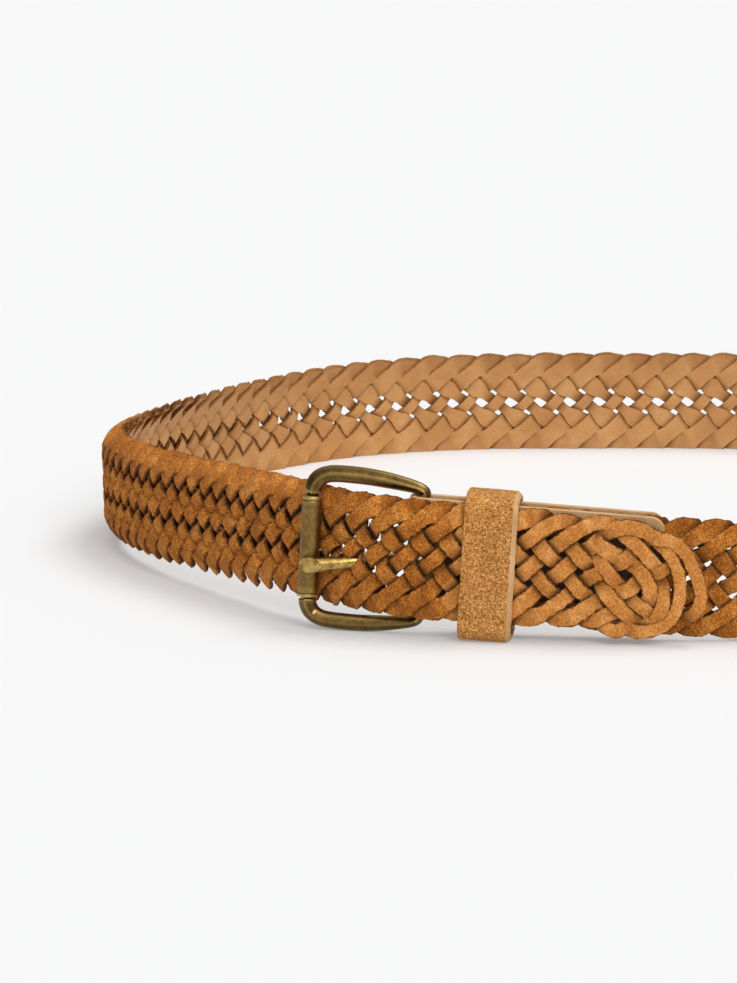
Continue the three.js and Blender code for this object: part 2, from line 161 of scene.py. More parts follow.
# The keeper's middle on the line, and from it where the line sits in the frame
keeper_strap, _, _, keeper_out = strap_line.at(KEEPER_AT)
keeper_out = keeper_out * [1, 1, 0] / np.linalg.norm(keeper_out[:2])
KEEPER_INNER = -(LEAF_OFFSET + TAB_THICKNESS / 2 + GAP)
KEEPER_OUTER = LAYER_STEP + STRAP_THICKNESS / 2 + GAP
KEEPER_DEPTH = KEEPER_OUTER - KEEPER_INNER + 2 * KEEPER_WALL
KEEPER_TALL = STRAP_WIDTH + KEEPER_SLACK + 2 * KEEPER_WALL
keeper_middle = keeper_strap + keeper_out * (KEEPER_INNER + KEEPER_OUTER) / 2
keeper_middle[2] = KEEPER_TALL / 2
SHIFT = np.mean([list(corner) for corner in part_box("keeper_loop")], axis=0) / MM - keeper_middle

# The buckle's axes, from the roller's place in the frame
roller_middle = np.mean([list(corner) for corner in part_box("buckle_roller")], axis=0) / MM - SHIFT
buckle_along = (heel - roller_middle) / np.linalg.norm(heel - roller_middle)
buckle_up = start_up
buckle_out = np.cross(buckle_along, buckle_up)
buckle_out /= np.linalg.norm(buckle_out)


# Materials

def material(name):
    made = bpy.data.materials.new(name)
    made.use_nodes = True
    tree = made.node_tree
    tree.nodes.clear()
    shader = tree.nodes.new("ShaderNodeBsdfPrincipled")
    output = tree.nodes.new("ShaderNodeOutputMaterial")
    tree.links.new(shader.outputs[0], output.inputs[0])
    return made, tree, shader


def noise(tree, scale, detail=3.0, rough=0.6):
    place = tree.nodes.new("ShaderNodeTexCoord")
    texture = tree.nodes.new("ShaderNodeTexNoise")
    texture.inputs["Scale"].default_value = scale
    texture.inputs["Detail"].default_value = detail
    texture.inputs["Roughness"].default_value = rough
    tree.links.new(place.outputs["Object"], texture.inputs["Vector"])
    return texture.outputs["Fac"]


def ramp(tree, value, stops):
    node = tree.nodes.new("ShaderNodeValToRGB")
    while len(node.color_ramp.elements) < len(stops):
        node.color_ramp.elements.new(0.5)
    for element, (place, color) in zip(node.color_ramp.elements, stops):
        element.position = place
        element.color = (*color, 1)
    tree.links.new(value, node.inputs[0])
    return node.outputs["Color"]


def mixed(tree, kind, factor, a, b):
    node = tree.nodes.new("ShaderNodeMix")
    node.data_type = "RGBA"
    node.blend_type = kind
    sockets = (node.inputs[0], node.inputs[6], node.inputs[7])
    for socket, value in zip(sockets, (factor, a, b)):
        if isinstance(value, float):
            socket.default_value = value
        elif isinstance(value, tuple):
            socket.default_value = (*value, 1)
        else:
            tree.links.new(value, socket)
    return node.outputs[2]


def arithmetic(tree, kind, *values):
    node = tree.nodes.new("ShaderNodeMath")
    node.operation = kind
    for socket, value in zip(node.inputs, values):
        if isinstance(value, (int, float)):
            socket.default_value = value
        else:
            tree.links.new(value, socket)
    return node.outputs[0]


def bump(tree, shader, height, distance, strength=1.0):
    node = tree.nodes.new("ShaderNodeBump")
    node.inputs["Distance"].default_value = distance
    node.inputs["Strength"].default_value = strength
    tree.links.new(height, node.inputs["Height"])
    tree.links.new(node.outputs[0], shader.inputs["Normal"])


def painted_recess_shade(tree, color):
    """Painted shade: darkens a colour where the mesh says that it lies deep in the braid."""
    painted_shade_depth = tree.nodes.new("ShaderNodeAttribute")
    painted_shade_depth.attribute_name = "painted_shade_depth"
    shade = ramp(tree, painted_shade_depth.outputs["Fac"],
                 [(0.0, (1, 1, 1)), (0.45, (0.82, 0.78, 0.74)), (1.0, (0.14, 0.1, 0.08))])
    return mixed(tree, "MULTIPLY", 1.0, color, shade)


def suede(name, dark, mid, light, nap=1.0):
    """Napped leather: a slow change of tone under two sizes of grain."""
    made, tree, shader = material(name)
    tone = ramp(tree, noise(tree, 160, 3), [(0.32, dark), (0.5, mid), (0.7, light)])
    coarse = ramp(tree, noise(tree, 1500, 2, 0.6),
                  [(0.36, (0.55, 0.48, 0.4)), (0.5, (1, 1, 1)), (0.66, (1.35, 1.4, 1.5))])
    fine = ramp(tree, noise(tree, 3400, 2, 0.7),
                [(0.36, (0.4, 0.32, 0.24)), (0.52, (1, 1, 1)), (0.66, (1.6, 1.7, 1.9))])
    tone = mixed(tree, "MULTIPLY", min(0.6 * nap, 1.0), tone, coarse)
    tone = mixed(tree, "MULTIPLY", min(0.7 * nap, 1.0), tone, fine)
    tree.links.new(painted_recess_shade(tree, tone), shader.inputs["Base Color"])
    shader.inputs["Roughness"].default_value = 0.95
    shader.inputs["Specular IOR Level"].default_value = 0.1
    shader.inputs["Sheen Weight"].default_value = 0.12
    shader.inputs["Sheen Roughness"].default_value = 0.6
    shader.inputs["Sheen Tint"].default_value = (1.0, 0.66, 0.36, 1)
    height = arithmetic(tree, "ADD", noise(tree, 1700, 3, 0.75),
                        arithmetic(tree, "MULTIPLY", noise(tree, 620, 2), 1.1))
    bump(tree, shader, height, 0.0006 * nap, 0.9)
    return made


def grain(name, dark, mid, light, rough=0.5):
    """Smooth leather with fine pores."""
    made, tree, shader = material(name)
    tone = ramp(tree, noise(tree, 75, 4), [(0.3, dark), (0.5, mid), (0.72, light)])
    pores = ramp(tree, noise(tree, 1500, 3), [(0.35, (0.86, 0.82, 0.78)), (0.55, (1, 1, 1))])
    tone = mixed(tree, "MULTIPLY", 0.6, tone, pores)
    tree.links.new(painted_recess_shade(tree, tone), shader.inputs["Base Color"])
    shader.inputs["Roughness"].default_value = rough
    shader.inputs["Specular IOR Level"].default_value = 0.3
    bump(tree, shader, noise(tree, 1800, 3), 0.0001, 0.7)
    return made


def brass(name, dark, light, worn, rough):
    """Antique brass: a mottled dark patina, rubbed bright along the ridges."""
    made, tree, shader = material(name)
    geometry = tree.nodes.new("ShaderNodeNewGeometry")
    ridge = ramp(tree, geometry.outputs["Pointiness"], [(0.5, (0, 0, 0)), (0.56, (1, 1, 1))])
    mottle = ramp(tree, noise(tree, 420, 6, 0.7), [(0.38, (0, 0, 0)), (0.64, (1, 1, 1))])
    base = mixed(tree, "MIX", mottle, dark, light)
    tree.links.new(mixed(tree, "MIX", ridge, base, worn), shader.inputs["Base Color"])
    shader.inputs["Metallic"].default_value = 1.0
    spread = arithmetic(tree, "MULTIPLY_ADD", noise(tree, 700, 4), 0.3, rough - 0.12)
    tree.links.new(spread, shader.inputs["Roughness"])
    bump(tree, shader, noise(tree, 1500, 5, 0.7), 0.00008, 0.7)
    return made


SUEDE = suede("suede", (0.36, 0.11, 0.013), (0.51, 0.168, 0.022), (0.68, 0.27, 0.05), 1.15)
# Darker suede for the cut edges, darkened further as painted shade for the gaps between the strips; the
# keeper's dark edge uses it too
SHADED_SUEDE_EDGE = suede("shaded_suede_edge", (0.13, 0.04, 0.006), (0.25, 0.082, 0.014), (0.55, 0.22, 0.055), 1.4)
EDGE_SOFT = suede("edge_soft", (0.3, 0.13, 0.035), (0.38, 0.17, 0.05), (0.46, 0.22, 0.07), 0.6)
# The tip's suede: a smoother grain, and a lighter tone that is painted light
SUEDE_TIP_LIT = suede("suede_tip_lit", (0.50, 0.185, 0.036), (0.64, 0.255, 0.058), (0.77, 0.35, 0.1), 0.75)
GRAIN = grain("grain", (0.47, 0.215, 0.065), (0.55, 0.265, 0.087), (0.64, 0.34, 0.13))
TAB = grain("tab_leather", (0.44, 0.26, 0.11), (0.54, 0.33, 0.155), (0.62, 0.41, 0.21), 0.55)
KEEPER = suede("keeper_suede", (0.64, 0.28, 0.07), (0.71, 0.32, 0.083), (0.8, 0.38, 0.11), 2.0)
CUT = grain("cut_edge", (0.5, 0.27, 0.11), (0.62, 0.37, 0.165), (0.7, 0.45, 0.23), 0.7)
BRASS = brass("antique_brass", (0.03, 0.015, 0.003), (0.14, 0.077, 0.017), (0.6, 0.41, 0.15), 0.3)
ROLLER = brass("roller_brass", (0.08, 0.043, 0.01), (0.27, 0.157, 0.038), (0.55, 0.38, 0.14), 0.38)
BRIGHT = brass("bright_brass", (0.2, 0.12, 0.027), (0.6, 0.4, 0.125), (0.95, 0.75, 0.37), 0.2)


# Meshes

def build(name, verts, faces, mats, cover, node=None, painted_shade_depth=None, crease=None):
    """A piece from points in millimetres on the part's line."""
    mesh = bpy.data.meshes.new(name)
    mesh.from_pydata(((np.asarray(verts) + SHIFT) * MM).tolist(), [], faces)
    for mat in mats:
        mesh.materials.append(mat)
    mesh.polygons.foreach_set("material_index", np.asarray(cover, np.int32))
    mesh.polygons.foreach_set("use_smooth", np.ones(len(faces), bool))
    # How much painted shade each point gets, for the materials to darken it by
    if painted_shade_depth is not None:
        deep = mesh.attributes.new("painted_shade_depth", "FLOAT", "POINT")
        deep.data.foreach_set("value", np.asarray(painted_shade_depth, np.float32))
    mesh.update()
    if crease:
        mesh.set_sharp_from_angle(angle=math.radians(crease))
    piece = bpy.data.objects.new(name, mesh)
    bpy.context.scene.collection.objects.link(piece)
    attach(piece, "root")
    if node:
        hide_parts(node)
    return piece


def skin(rings, closed=False):
    """Quads over rings of corners (n, k, 3), with flat ends unless closed."""
    n, k = rings.shape[:2]
    a = np.arange(n if closed else n - 1)[:, None]
    b = (a + 1) % n
    i = np.arange(k)[None]
    j = (i + 1) % k
    quads = np.stack([a * k + i, a * k + j, b * k + j, b * k + i], -1).reshape(-1, 4).tolist()
    if not closed:
        quads.append(list(range(k))[::-1])
        quads.append(list(range((n - 1) * k, n * k)))
    return rings.reshape(-1, 3), quads


def spline(rows, step):
    """A smooth run through given rows, sampled about every step of length."""
    rows = np.array(rows, float)
    ends = np.vstack([2 * rows[0] - rows[1], rows, 2 * rows[-1] - rows[-2]])
    found = []
    for i in range(len(rows) - 1):
        p0, p1, p2, p3 = ends[i:i + 4]
        count = max(2, int(np.linalg.norm((p2 - p1)[:2]) / step))
        w = np.linspace(0, 1, count, endpoint=False)[:, None]
        found.append(0.5 * (2 * p1 + (p2 - p0) * w + (2 * p0 - 5 * p1 + 4 * p2 - p3) * w**2
                            + (3 * p1 - p0 - 3 * p2 + p3) * w**3))
    return np.vstack(found + [rows[-1:]])


# A strip's section: across and through as shares of its half width and thickness,
# and the cover of the face that starts there: 0 outside, 1 cut edge (darkened with painted shade), 2 inside.
# Further covers are 3, the tip's smooth outside, painted lighter as painted light, and 4, the far side's
# soft cut edge.
STRIP = np.array([
    (-1, -0.3), (-1, 0.45), (-0.93, 0.86), (-0.7, 1.0), (-0.35, 1.08), (0, 1.1), (0.35, 1.08), (0.7, 1.0),
    (0.93, 0.86), (1, 0.45), (1, -0.3), (0.94, -0.88), (0.5, -1), (0, -1), (-0.5, -1), (-0.94, -0.88),
])
STRIP_COVER = [1, 1, 0, 0, 0, 0, 0, 0, 1, 1, 1, 2, 2, 2, 2, 1]
STRIP_THICK = 1.7
# How unevenly the edges and the face wander, and the edges' share of it on the far side
EDGE_WANDER, FACE_WANDER, FAR_RAGGED = 0.13, 0.04, 0.35
# The strips' lowest edges are pressed flat just above the floor
FLOOR_GAP = 0.05
# The tip is worn smoother than the rest, and painted lighter to stand in for the stronger light on it
TIP_SMOOTH_LIT = 72
# How much painted shade a strip gets where it lies level, and how much more as it dives
PAINTED_SHADE_LEVEL, PAINTED_SHADE_GAIN = 0.35, 0.5
fray_roots = []


def along_run(s, column):
    rows = np.array(RUN_LINE)
    return np.interp(END - s, rows[:, 0], rows[:, column])


def on_far_side(s):
    return np.abs(END - s - FAR_MIDDLE) < FAR_HALF


def strip(name, s, v, h, width, tilt=0.0, node=None):
    """A leather strip along (s, v) in the strap's face, h outward from its middle."""
    ds, dv = np.gradient(s), np.gradient(v)
    run = np.hypot(ds, dv)
    side_s, side_v = dv / run, -ds / run
    point, along, up, out = strap_line.at(s)
    count, corners = len(s), len(STRIP)
    width = np.broadcast_to(width, count)[:, None]
    tilt = np.broadcast_to(tilt, count)[:, None]
    ragged = rng.normal(0, EDGE_WANDER, (count, corners)) * (np.abs(STRIP[:, 0]) > 0.9)
    ragged *= np.where(on_far_side(s), FAR_RAGGED, 1.0)[:, None]
    lumpy = rng.normal(0, FACE_WANDER, (count, corners)) * (STRIP[:, 1] > 0)
    across = STRIP[:, 0] * width / 2 + ragged
    through = STRIP[:, 1] * STRIP_THICK / 2 + lumpy
    flat = across * np.cos(tilt) - through * np.sin(tilt)
    rise = across * np.sin(tilt) + through * np.cos(tilt)
    v_here = v[:, None] + side_v[:, None] * flat
    lift = h[:, None] + rise
    curl = np.maximum(along_run(s, CURL), 1e-4)[:, None]
    past = np.maximum(np.abs(v_here) - CURL_FROM, 0)
    turn = np.where(past > 0, past * curl, 0)
    high = np.abs(v_here) - past + np.sin(turn) / curl + np.sin(turn) * lift
    deep = lift * np.cos(turn) - (1 - np.cos(turn)) / curl
    rings = (point[:, None] + along[:, None] * (side_s[:, None] * flat)[..., None]
             + up[:, None] * (np.sign(v_here) * high)[..., None] + out[:, None] * deep[..., None])
    rings[..., 2] = np.maximum(rings[..., 2], FLOOR_GAP - SHIFT[2])
    verts, quads = skin(rings)
    cover = np.tile(STRIP_COVER, (count - 1, 1))
    # The tip's outside takes the lighter suede, painted light for the stronger light there
    cover[(cover == 0) & (s[1:] > END - TIP_SMOOTH_LIT)[:, None]] = 3
    cover[(cover == 1) & on_far_side(s[1:])[:, None]] = 4
    cover = cover.ravel().tolist() + [1, 1]
    # Painted shade: a strip's outer face darkens as it dives under, its inner face as it rides over
    facing = np.where(STRIP[:, 1] > 0, 1.0, -1.0)
    painted_shade_depth = np.clip(PAINTED_SHADE_LEVEL - PAINTED_SHADE_GAIN * h[:, None] * facing, 0, 1)
    open_air = h > 0.1
    for corner, sign in ((2, -1), (8, 1)):
        side = (along * side_s[:, None] + up * side_v[:, None]) * sign
        fray_roots.append((rings[open_air, corner], side[open_air], out[open_air]))
    return build(name, verts, quads, [SUEDE, SHADED_SUEDE_EDGE, GRAIN, SUEDE_TIP_LIT, EDGE_SOFT], cover, node,
                 painted_shade_depth.ravel(), 42)


# The braid: eight strips run straight from edge to edge and turn round there, each
# two phases behind the last. Heights at whole phases, from the top edge down and
# back up: 1 is over, -1 under.
STRANDS = 8
# Height of the rows above the middle one, packed and spread, at whole phases
ROWS_PACKED = [0, 4.55, 8.85, 12.6, 14.5]
ROWS_SPREAD = [0, 5.4, 9.9, 13.5, 15.2]
HEIGHTS = np.array([0, -1, -1, 1, -1, 1, -1, -1, 0, 1, 1, -1, 1, -1, 1, 1], float)
# How fast a strip dives, how finely it is drawn, and how much longer it is than the strap
DIVE = 1.6
STRIP_STEP, STRIP_LONGER = 0.72, 1.36
# How far a row leans along the strap for each millimetre across it, and how far back
# from the tip's end that starts and over which length it grows
ROW_SLANT, SLANT_FROM, SLANT_OVER = 0.16, 50, 30
# How much wider a strip is at the strap's edge, more so where the rows spread and
# where it turns in under its neighbour, but not in the last stretch before the tip
EDGE_FROM, EDGE_WIDER, SPREAD_WIDER, UNDER_WIDER, EDGE_ENDS = 12, 1.3, 0.4, 2.4, 45
# How far the strap's lower edge sags at this height below the middle, and its share of
# that at lengths back from the tip's end, between the buckle and the keeper
TIP_SAG, SAG_HEIGHT = 0.7, 15
SAG_LINE = [(40, 0), (60, 1), (110, 1), (130, 0)]
# A hole in the middle row of the photo, back from the tip's end, and a phase with a
# hole in the middle row
HOLE_AT, HOLE_PHASE = 44.7, 201
# Where the strips leave the braid for the tip's own turns
TIP_CUT = 32.0

pitch_back, pitch_sizes = np.array(PITCH_LINE).T
grid = np.linspace(-20, END + 20, 8000)
rate = 2 / np.interp(END - grid, pitch_back, pitch_sizes)
phases = np.concatenate([[0], np.cumsum((rate[1:] + rate[:-1]) / 2 * np.diff(grid))])
phases += HOLE_PHASE - np.interp(END - HOLE_AT, grid, phases)


def smooth_rows(rows):
    """A smooth rise through the rows, with a level end where the strips turn round."""
    fine = np.linspace(0, 4, 81)
    rise = np.interp(fine, np.arange(len(rows)), rows)
    reach = 18
    window = np.hanning(2 * reach + 1)
    padded = np.concatenate([-rise[1:reach + 1][::-1], rise, rise[-reach - 1:-1][::-1]])
    return fine, np.convolve(padded, window / window.sum(), mode="valid")


def height_across(own, spread):
    """How high a strip is at its own phase: straight runs, rounded at both edges."""
    offset = 4 - np.abs((own + 8) % 16 - 8)
    packed, spread_out = (np.interp(np.abs(offset), *smooth_rows(rows))
                          for rows in (ROWS_PACKED, ROWS_SPREAD))
    return np.sign(offset) * (packed + (spread_out - packed) * spread)


def swing(strand):
    """s, v, h and own phase of one strip from the strap's start to the tip's cut."""
    low, high = np.interp([0, END - TIP_CUT], grid, phases)
    steps = int((END - TIP_CUT) * STRIP_LONGER / STRIP_STEP)
    phase = np.linspace(low - 1, high + 1, steps)
    own = phase + 2 * strand
    s = np.interp(phase, phases, grid)
    v = height_across(own, along_run(s, SPREAD))
    v = v + TIP_SAG * np.minimum(v / SAG_HEIGHT, 0) * np.interp(END - s, *np.array(SAG_LINE).T)
    s = s + v * ROW_SLANT * np.clip((END - s - SLANT_FROM) / SLANT_OVER, 0, 1)
    whole = np.floor(own).astype(int)
    part = np.clip((own - whole - 0.5) * DIVE + 0.5, 0, 1)
    ease = part * part * (3 - 2 * part)
    h = HEIGHTS[whole % 16] * (1 - ease) + HEIGHTS[(whole + 1) % 16] * ease
    keep = (s > 0.5) & (s < END - TIP_CUT)
    return s[keep], v[keep], (h * along_run(s, LIFT))[keep], own[keep]


# The tip's own turns, one list for each strip in the order in which they cross the
# cut from the top edge down and back up: back from the tip's end, height across
# and how far over or under.
TIP_TURNS = [
    [(30.2, 8.3, 1), (26.3, 5.9, 0.7), (22.8, 4, -0.6), (19.6, 2.4, 0.1), (17.2, 0.2, 1),
     (15.6, -2.6, 1), (15.2, -5.6, 0.6), (16, -8.6, -0.6), (18, -11, -1)],
    [(29.8, -1.5, -1), (28, -4.6, 0.2), (25, -8, 1), (21.8, -11, 0.7), (19, -13.2, -0.3), (15.5, -14.8, -1)],
    [(30.5, -9.8, -0.2), (28.8, -12.6, -0.7), (27.2, -15, 0.3), (24.2, -16.2, 0.9), (21.4, -14.6, 0.2),
     (19.5, -12, -1)],
    [(29.5, -13.4, 0.6), (26.5, -11.6, 0.3), (23, -10, -0.8), (18, -9.4, -1.2), (12, -9.2, -1.2)],
    [(29.5, -8, -0.6), (26.5, -6.4, -1), (23.5, -5, 0.3), (21, -3.8, 0.8), (18.8, -2, -0.5),
     (16.5, -0.6, -1), (14.2, 0.6, 0.1), (12.4, 1.6, 0.7), (10.2, 2.6, -0.5), (7.5, 3, -1),
     (4.6, 3, 0), (1.6, 2.2, 0.2)],
    [(30.8, -0.4, 1), (29, 0.6, 0.2), (27, 1.8, -1), (24.8, 3, 0.1), (22.6, 4.3, 0.8), (20.5, 6.2, -0.6),
     (18, 9, -0.9), (16.2, 10.9, 0.3), (12.8, 11, 1), (9.4, 10.2, 1.1), (6.4, 7.8, 1.1), (4.4, 4.6, 1),
     (2.8, 1.2, 0.9), (1.6, -2.5, 0.9), (1.1, -6, 0.8), (2.2, -9.5, 0.2), (5, -12, -0.9)],
    [(29.8, 9.9, -0.7), (27.5, 12, 0.3), (24, 13.5, 1), (20, 13.6, 1.05), (16.5, 12.2, 0.7),
     (13.8, 9.8, -0.1), (11.2, 7.5, 0.6), (8.8, 4.2, 1), (7.4, 0, 1.1), (7, -4.5, 1), (8, -9.5, 0.9),
     (11, -13.6, 0.9), (15.5, -15.6, 0.8), (20, -15.6, 0.1), (23, -14, -0.8)],
    [(29.5, 14.6, 0.9), (26.5, 13.6, -0.3), (23, 11.3, 0.4), (19.3, 8.4, 1), (15.8, 5, 1), (13.4, 2, 0),
     (12.2, -1.5, -0.6), (11.6, -5, 0.5), (11.8, -9, 0.8), (13.5, -12.5, 0.5), (17, -14.5, -0.4)],
]
# One more end, folded back under its neighbour, and its width
EXTRA_WIDE = 4.1
TIP_EXTRA = [
    (34, 7.6, -1.2), (31.4, 5.2, -0.5), (28.9, 2.6, 0.9), (26.3, -0.4, 1), (24, -3, 0), (21.5, -6, -0.9),
    (19, -8, 0.5), (16.4, -9.6, 0.7), (14, -12, -0.8),
]
# How far the tip's turns lift over one another
TIP_LIFT = 1.15


def turned_tip(rows, lead):
    """s, v, h along a tip turn, after the points that lead into it."""
    rows = [(END - back, v, h * TIP_LIFT) for back, v, h in rows]
    return spline(lead + rows, STRIP_STEP).T


def widths(s, v, h, seed):
    """The strip's width, a little uneven as leather cut by hand is."""
    outer = np.clip((np.abs(v) - 3.0) / 2.0, 0, 1)
    brim = EDGE_WIDER + SPREAD_WIDER * along_run(s, SPREAD) + UNDER_WIDER * np.clip(-h, 0, 1)
    brim = brim * np.clip((np.abs(v) - EDGE_FROM) / 2, 0, 1) * (s < END - EDGE_ENDS)
    wave = 0.05 * np.sin(s * 0.11 + seed * 2.1) + 0.04 * np.sin(s * 0.37 + seed)
    wide = along_run(s, MIDDLE_WIDE) * (1 - outer) + along_run(s, OUTER_WIDE) * outer
    return (wide + brim) * (1 + wave)


# How far the outer rows tilt, and the length of strip that leads into a tip turn
OUTER_TILT, LEAD = 0.16, 3.5
for k in range(STRANDS):
    s, v, h, own = swing(k)
    turn = int(round(((own[-1] % 16) - 1.5) / 2)) % STRANDS
    lead_from = np.searchsorted(s, [s[-1] - LEAD])[0]
    lead = [(s[lead_from], v[lead_from], h[lead_from]), (s[-1], v[-1], h[-1])]
    ts, tv, th = turned_tip(TIP_TURNS[turn], lead)
    first = int(np.argmax(ts > s[-1]))
    s, v, h = (np.concatenate([a, b[first:]]) for a, b in ((s, ts), (v, tv), (h, th)))
    rising = np.gradient(v) > 0
    tilt = OUTER_TILT * rising * np.clip((np.abs(v) - 5) / 5, 0, 1) * (h > -0.3)
    tilt = np.convolve(tilt, np.ones(5) / 5, mode="same")
    strip(f"strand_{k + 1}", s, v, h, widths(s, v, h, k), tilt, "braided_strap" if k == 0 else None)
s, v, h = turned_tip(TIP_EXTRA, [])
strip("tip_end", s, v, h, EXTRA_WIDE)


# Loose fibres along the cut edges: slim closed spikes
FIBRES, FIBRE_LONG, FIBRE_THICK = 15000, 0.75, 0.11


def fray():
    roots, sides, outs = (np.vstack(parts) for parts in zip(*fray_roots))
    chosen = rng.integers(0, len(roots) - 1, FIBRES)
    root, side, out = roots[chosen], sides[chosen], outs[chosen]
    ahead = roots[chosen + 1] - root
    near = np.linalg.norm(ahead, axis=1, keepdims=True) < 2 * STRIP_STEP
    root = root + ahead * near * rng.uniform(0, 1, (FIBRES, 1))
    lean = side * rng.uniform(0.2, 1.0, (FIBRES, 1)) + out * rng.uniform(0.1, 0.9, (FIBRES, 1))
    lean += rng.normal(0, 0.45, (FIBRES, 3))
    lean /= np.linalg.norm(lean, axis=1)[:, None]
    first = np.cross(lean, rng.normal(0, 1, (FIBRES, 3)))
    first /= np.linalg.norm(first, axis=1)[:, None]
    second = np.cross(lean, first)
    tip = root + lean * FIBRE_LONG * rng.uniform(0.3, 1.0, (FIBRES, 1))
    base = [root + (first * math.cos(a) + second * math.sin(a)) * FIBRE_THICK / 2 - lean * 0.15
            for a in (0, 2 * math.pi / 3, 4 * math.pi / 3)]
    verts = np.stack(base + [tip], 1).reshape(-1, 3)
    verts[:, 2] = np.maximum(verts[:, 2], FLOOR_GAP - SHIFT[2])
    corner = np.arange(FIBRES)[:, None] * 4
    faces = np.concatenate([corner + np.array(f) for f in ((0, 2, 1), (0, 1, 3), (1, 2, 3), (2, 0, 3))])
    build("fibres", verts, faces.tolist(), [SUEDE], np.zeros(len(faces)), None)


fray()


# The keeper: a suede band bent round both layers, its corners soft
KEEPER_ROUND = 4.4
KEEPER_BULGE = 0.25
KEEPER_LEAN, KEEPER_SLID = math.radians(-3.2), 1.1
KEEPER_NAP, KEEPER_RAGGED = 0.05, 0.07
# The band's section: across and through as shares of its half width and thickness, and
# the cover of the face that starts there: 0 outside, 1 pale cut edge, 2 inside, 3 dark edge
BAND = np.array([
    (-1, -0.7), (-1, -0.4), (-0.92, 0.4), (-0.83, 0.95), (-0.6, 1), (-0.3, 1), (0, 1), (0.3, 1), (0.6, 1),
    (0.85, 1), (0.97, 0.9), (1, 0.5), (1, -0.7), (0.95, -1), (0.5, -1), (0, -1), (-0.5, -1), (-0.95, -1),
])
BAND_COVER = [1, 1, 1, 0, 0, 0, 0, 0, 0, 0, 0, 3, 3, 2, 2, 2, 2, 1]


def rounded_box(half_deep, half_tall, radius, step):
    """Points and outward directions round a box with round corners."""
    found = []
    for turn, (deep, tall) in enumerate(((1, 1), (-1, 1), (-1, -1), (1, -1))):
        centre = np.array([deep * (half_deep - radius), tall * (half_tall - radius)])
        angles = np.linspace(0, math.pi / 2, 14) + turn * math.pi / 2
        away = np.stack([np.cos(angles), np.sin(angles)], 1)
        found.append(np.hstack([centre + away * radius, away]))
        side = 2 * ((half_tall if turn % 2 else half_deep) - radius)
        count = int(side / step)
        share = np.linspace(0, 1, count + 1, endpoint=False)[1:, None]
        onward = np.array([[-away[-1][1], away[-1][0]]])
        found.append(np.hstack([found[-1][-1:, :2] + share * side * onward, np.repeat(away[-1:], count, 0)]))
    return np.vstack(found)


def keeper():
    path = rounded_box((KEEPER_DEPTH - KEEPER_WALL) / 2, (KEEPER_TALL - KEEPER_WALL) / 2, KEEPER_ROUND, 0.8)
    flat = path[:, :2].copy()
    flat[:, 0] += KEEPER_BULGE * np.cos(flat[:, 1] / KEEPER_TALL * math.pi) * np.sign(flat[:, 0])
    up = np.array([0, 0, 1.0])
    wide = np.cross(keeper_out, up)
    nap = rng.normal(0, KEEPER_NAP, (len(path), len(BAND))) * (BAND[:, 1] > 0)
    ragged = rng.normal(0, KEEPER_RAGGED, nap.shape) * (np.abs(BAND[:, 0]) > 0.9)
    across = BAND[:, 0] * KEEPER_WIDTH / 2 + ragged
    through = BAND[:, 1] * KEEPER_WALL / 2 + nap
    up = up * math.cos(KEEPER_LEAN) + wide * math.sin(KEEPER_LEAN)
    wide = np.cross(keeper_out, up)
    away = keeper_out * path[:, 2:3] + up * path[:, 3:4]
    centre = keeper_middle - wide * KEEPER_SLID + keeper_out * flat[:, :1] + up * flat[:, 1:2]
    rings = centre[:, None] + wide * across[..., None] + away[:, None] * through[..., None]
    rings[..., 2] = np.maximum(rings[..., 2], FLOOR_GAP - SHIFT[2])
    verts, quads = skin(rings, True)
    build("keeper", verts, quads, [KEEPER, CUT, GRAIN, SHADED_SUEDE_EDGE], np.tile(BAND_COVER, len(path)),
          "keeper_loop", None, 35)


keeper()


# The tab: smooth leather folded round the heel bar, with a slot for the prong
def rounded_section(half_tall, half_thick, radius, steps=5):
    found = []
    for turn, (a, b) in enumerate(((1, 1), (-1, 1), (-1, -1), (1, -1))):
        angles = np.linspace(0, math.pi / 2, steps) + turn * math.pi / 2
        found.append(np.stack([a * (half_tall - radius) + radius * np.cos(angles),
                               b * (half_thick - radius) + radius * np.sin(angles)], 1))
    return np.vstack(found)


def boxed(centre, sides, halves):
    corners = [[i, j, k] for i in (-1, 1) for j in (-1, 1) for k in (-1, 1)]
    verts = [centre + sum(c * h * d for c, h, d in zip(corner, halves, sides)) for corner in corners]
    return verts, [[0, 1, 3, 2], [4, 6, 7, 5], [0, 4, 5, 1], [2, 3, 7, 6], [0, 2, 6, 4], [1, 5, 7, 3]]


# How far the tab stands up past the strap's top edge, how round its leaves' edges are,
# and how far in from the edge the strap hides it
TAB_PROUD, LEAF_ROUND, LEAF_HIDDEN = 1.4, 0.45, 4.5


